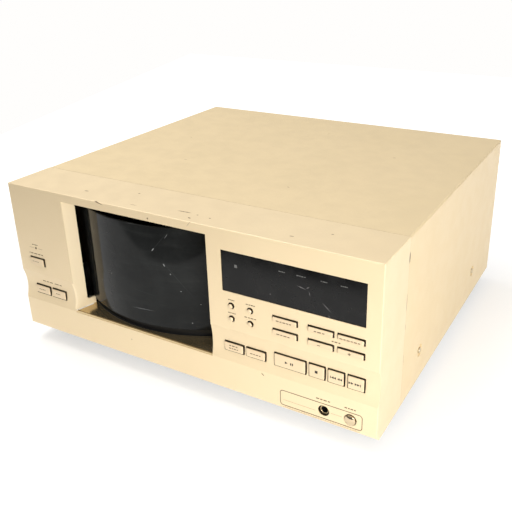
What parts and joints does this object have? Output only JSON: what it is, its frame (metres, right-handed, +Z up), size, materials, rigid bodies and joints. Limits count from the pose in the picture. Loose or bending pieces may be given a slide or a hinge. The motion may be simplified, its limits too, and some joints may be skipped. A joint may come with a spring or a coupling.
{
  "type": "disc changer",
  "caption": "Wide box-shaped disc changer with a curved smoked sliding door, a rotary file rack, an upright play mechanism, push buttons and a level knob.",
  "frame": {"origin": "middle of the bounding box at floor level, under the feet's pads", "axes": "+X to the right as seen from the front, -Y out of the front face, +Z up"},
  "size_m": [0.4212, 0.3964, 0.1882],
  "materials": {
    "champagne_moulding": "satin metallic paint",
    "champagne_caps": "satin metallic paint",
    "gold_gloss": "gloss metallic paint",
    "champagne_sheet": "satin metallic paint",
    "dark_acrylic": "polished",
    "smoked_acrylic": "polished, worn",
    "zinc_sheet": "zinc plated",
    "foot_plastic": "matt",
    "foot_rubber": "matt",
    "screw_steel": "plated",
    "board_laminate": "bare laminate",
    "tube_glass": "clear",
    "jack_plastic": "moulded",
    "control_metal": "plain",
    "core_steel": "varnished",
    "black_moulding": "moulded",
    "rack_moulding": "moulded",
    "rod_steel": "ground",
    "motor_steel": "plated",
    "gear_plastic": "moulded",
    "roller_rubber": "matt"
  },
  "bodies": {
    "case": {"ac_inlet": "jack_plastic", "audio_board": "board_laminate", "bottom_chassis": "zinc_sheet", "case_screws": "screw_steel", "control_board": "board_laminate", "disc_guide": "black_moulding", "display_tube": "tube_glass", "display_window": "dark_acrylic", "door_motor": "motor_steel", "feet": "foot_plastic", "foot_pads": "foot_rubber", "front_board": "board_laminate", "front_panel": "champagne_moulding", "guide_rods": "rod_steel", "headphone_jack": "jack_plastic", "level_control": "control_metal", "motor_bracket": "zinc_sheet", "output_jacks": "jack_plastic", "power_transformer": "core_steel", "rack_base": "black_moulding", "rack_motor": "motor_steel", "rack_spindle": "rod_steel", "rear_panel": "zinc_sheet", "top_cover": "champagne_sheet", "transport_dampers": "foot_rubber", "transport_frame": "zinc_sheet", "transport_motors": "motor_steel", "window_shelf": "gold_gloss"},
    "door": {"smoked_door": "smoked_acrylic", "door_carrier": "black_moulding"},
    "door_pinion": {"door_pinion": "gear_plastic"},
    "rack": {"disc_rack": "rack_moulding"},
    "rack_pinion": {"rack_pinion": "gear_plastic"},
    "turntable": {"turntable": "black_moulding"},
    "sled": {"pickup_sled": "black_moulding"},
    "sled_gear": {"sled_gear": "gear_plastic"},
    "feed_roller": {"feed_roller": "roller_rubber"},
    "clamp_arm": {"clamp_arm": "zinc_sheet"},
    "clamp_puck": {"clamp_puck": "black_moulding"},
    "level_knob": {"level_knob": "gold_gloss"},
    "power_button": {"power_button": "champagne_caps"},
    "disc_button_a": {"disc_button_a": "champagne_caps"},
    "disc_button_b": {"disc_button_b": "champagne_caps"},
    "disc_button_c": {"disc_button_c": "champagne_caps"},
    "disc_button_d": {"disc_button_d": "champagne_caps"},
    "disc_button_e": {"disc_button_e": "champagne_caps"},
    "disc_button_f": {"disc_button_f": "champagne_caps"},
    "timer_button": {"timer_button": "champagne_caps"},
    "dimmer_button": {"dimmer_button": "champagne_caps"},
    "open_close_button": {"open_close_button": "champagne_caps"},
    "unload_button": {"unload_button": "champagne_caps"},
    "play_pause_button": {"play_pause_button": "champagne_caps"},
    "stop_button": {"stop_button": "champagne_caps"},
    "previous_button": {"previous_button": "champagne_caps"},
    "next_button": {"next_button": "champagne_caps"},
    "mode_button_a": {"mode_button_a": "champagne_caps"},
    "mode_button_b": {"mode_button_b": "champagne_caps"},
    "mode_button_c": {"mode_button_c": "champagne_caps"},
    "mode_button_d": {"mode_button_d": "champagne_caps"}
  },
  "joints": [
    {"name": "door_slide_open", "type": "hinge", "parent": "case", "child": "door", "pos_m": [-0.0526, -0.04075, 0.06], "axis": [0, 0, 1], "range_deg": [-74, 0]},
    {"name": "door_pinion_turn", "type": "hinge", "parent": "case", "child": "door_pinion", "pos_m": [-0.14829, -0.16773, 0.044], "axis": [0, 0, 1], "range_deg": [-1, 1047.6]},
    {"name": "rack_turn", "type": "hinge", "parent": "case", "child": "rack", "pos_m": [-0.0526, -0.04075, 0.06], "axis": [0, 0, 1], "continuous": true},
    {"name": "rack_pinion_turn", "type": "hinge", "parent": "case", "child": "rack_pinion", "pos_m": [0.1049, -0.04075, 0.026], "axis": [0, 0, 1], "continuous": true},
    {"name": "disc_spin", "type": "hinge", "parent": "case", "child": "turntable", "pos_m": [0.0966, 0.10845, 0.11], "axis": [-0.7071, 0.7071, 0], "continuous": true},
    {"name": "sled_travel", "type": "slide", "parent": "case", "child": "sled", "axis": [0.7071, 0.7071, 0], "range_m": [0, 0.033]},
    {"name": "sled_gear_turn", "type": "hinge", "parent": "case", "child": "sled_gear", "pos_m": [0.13549, 0.12471, 0.0798], "axis": [-0.7071, 0.7071, 0], "range_deg": [-1, 316.1]},
    {"name": "feed_roll", "type": "hinge", "parent": "case", "child": "feed_roller", "pos_m": [0.06478, 0.07663, 0.0435], "axis": [-0.7071, 0.7071, 0], "continuous": true},
    {"name": "clamp_swing", "type": "hinge", "parent": "case", "child": "clamp_arm", "pos_m": [0.08529, 0.11976, 0.17], "axis": [0.7071, 0.7071, 0], "range_deg": [-3, 0]},
    {"name": "clamp_spin", "type": "hinge", "parent": "clamp_arm", "child": "clamp_puck", "pos_m": [0.09342, 0.11163, 0.11], "axis": [-0.7071, 0.7071, 0], "continuous": true},
    {"name": "level_turn", "type": "hinge", "parent": "case", "child": "level_knob", "pos_m": [0.185, -0.19605, 0.0319], "axis": [0, 1, 0], "range_deg": [-150, 150]},
    {"name": "power_button_press", "type": "slide", "parent": "case", "child": "power_button", "axis": [0, 1, 0], "range_m": [0, 0.0012], "stiffness_N_per_m": 300},
    {"name": "disc_button_a_press", "type": "slide", "parent": "case", "child": "disc_button_a", "axis": [0, 1, 0], "range_m": [0, 0.0012], "stiffness_N_per_m": 300},
    {"name": "disc_button_b_press", "type": "slide", "parent": "case", "child": "disc_button_b", "axis": [0, 1, 0], "range_m": [0, 0.0012], "stiffness_N_per_m": 300},
    {"name": "disc_button_c_press", "type": "slide", "parent": "case", "child": "disc_button_c", "axis": [0, 1, 0], "range_m": [0, 0.0012], "stiffness_N_per_m": 300},
    {"name": "disc_button_d_press", "type": "slide", "parent": "case", "child": "disc_button_d", "axis": [0, 1, 0], "range_m": [0, 0.0012], "stiffness_N_per_m": 300},
    {"name": "disc_button_e_press", "type": "slide", "parent": "case", "child": "disc_button_e", "axis": [0, 1, 0], "range_m": [0, 0.0012], "stiffness_N_per_m": 300},
    {"name": "disc_button_f_press", "type": "slide", "parent": "case", "child": "disc_button_f", "axis": [0, 1, 0], "range_m": [0, 0.0012], "stiffness_N_per_m": 300},
    {"name": "timer_button_press", "type": "slide", "parent": "case", "child": "timer_button", "axis": [0, 1, 0], "range_m": [0, 0.0012], "stiffness_N_per_m": 300},
    {"name": "dimmer_button_press", "type": "slide", "parent": "case", "child": "dimmer_button", "axis": [0, 1, 0], "range_m": [0, 0.0012], "stiffness_N_per_m": 300},
    {"name": "open_close_button_press", "type": "slide", "parent": "case", "child": "open_close_button", "axis": [0, 1, 0], "range_m": [0, 0.0012], "stiffness_N_per_m": 300},
    {"name": "unload_button_press", "type": "slide", "parent": "case", "child": "unload_button", "axis": [0, 1, 0], "range_m": [0, 0.0012], "stiffness_N_per_m": 300},
    {"name": "play_pause_button_press", "type": "slide", "parent": "case", "child": "play_pause_button", "axis": [0, 1, 0], "range_m": [0, 0.0012], "stiffness_N_per_m": 300},
    {"name": "stop_button_press", "type": "slide", "parent": "case", "child": "stop_button", "axis": [0, 1, 0], "range_m": [0, 0.0012], "stiffness_N_per_m": 300},
    {"name": "previous_button_press", "type": "slide", "parent": "case", "child": "previous_button", "axis": [0, 1, 0], "range_m": [0, 0.0012], "stiffness_N_per_m": 300},
    {"name": "next_button_press", "type": "slide", "parent": "case", "child": "next_button", "axis": [0, 1, 0], "range_m": [0, 0.0012], "stiffness_N_per_m": 300},
    {"name": "mode_button_a_press", "type": "slide", "parent": "case", "child": "mode_button_a", "axis": [0, 1, 0], "range_m": [0, 0.0012], "stiffness_N_per_m": 300},
    {"name": "mode_button_b_press", "type": "slide", "parent": "case", "child": "mode_button_b", "axis": [0, 1, 0], "range_m": [0, 0.0012], "stiffness_N_per_m": 300},
    {"name": "mode_button_c_press", "type": "slide", "parent": "case", "child": "mode_button_c", "axis": [0, 1, 0], "range_m": [0, 0.0012], "stiffness_N_per_m": 300},
    {"name": "mode_button_d_press", "type": "slide", "parent": "case", "child": "mode_button_d", "axis": [0, 1, 0], "range_m": [0, 0.0012], "stiffness_N_per_m": 300}
  ],
  "couplings": [
    {"joint": "door_pinion_turn", "follows": "door_slide_open", "ratio": -14.143},
    {"joint": "rack_pinion_turn", "follows": "rack_turn", "ratio": -8},
    {"joint": "sled_gear_turn", "follows": "sled_travel", "rad_per_m": 166.67}
  ]
}
